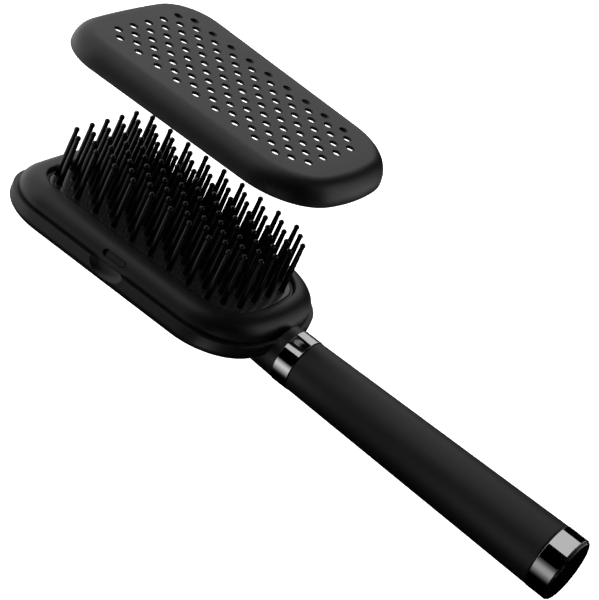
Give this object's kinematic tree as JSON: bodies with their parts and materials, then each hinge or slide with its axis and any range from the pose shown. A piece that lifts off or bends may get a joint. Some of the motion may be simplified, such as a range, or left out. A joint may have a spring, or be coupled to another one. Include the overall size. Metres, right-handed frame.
{
  "type": "hair brush",
  "caption": "Paddle hair brush: ball-tipped pins on a rounded flat head, a round handle with two bright rings, and a perforated cleaning cover lifted off the pins.",
  "frame": {"origin": "middle of the flat patch on the back of the head, which the head lies on", "axes": "+X along the handle towards its end cap, +Z the way the pins stand, out of the head"},
  "size_m": [0.2732, 0.0846, 0.0957],
  "materials": {
    "soft_touch": "soft-touch matte black coating on moulded plastic",
    "pins": "satin moulded nylon, black",
    "seal": "matt black elastomer",
    "plated_ring": "mirror-bright black chrome plating",
    "gloss_cap": "polished black",
    "inner_plastic": "plain moulded grey",
    "screws": "zinc-plated steel"
  },
  "bodies": {
    "brush": {"back_shell": "soft_touch", "front_bezel": "soft_touch", "bed_seal": "seal", "pin_bed": "pins", "chassis_plate": "inner_plastic", "bed_screw_1": "screws", "bed_screw_2": "screws", "bed_screw_3": "screws", "bed_screw_4": "screws", "bed_screw_5": "screws", "bed_screw_6": "screws", "core_screw_1": "screws", "core_screw_2": "screws", "handle_core": "inner_plastic", "neck_ring": "plated_ring", "grip_sleeve": "soft_touch", "end_ring": "plated_ring", "end_plug": "inner_plastic", "end_cap": "gloss_cap"},
    "cover": {"cleaning_cover": "soft_touch"}
  },
  "joints": [
    {"name": "cover_lift", "type": "slide", "parent": "brush", "child": "cover", "axis": [0, 0, 1], "range_m": [-0.0665, 0]}
  ]
}
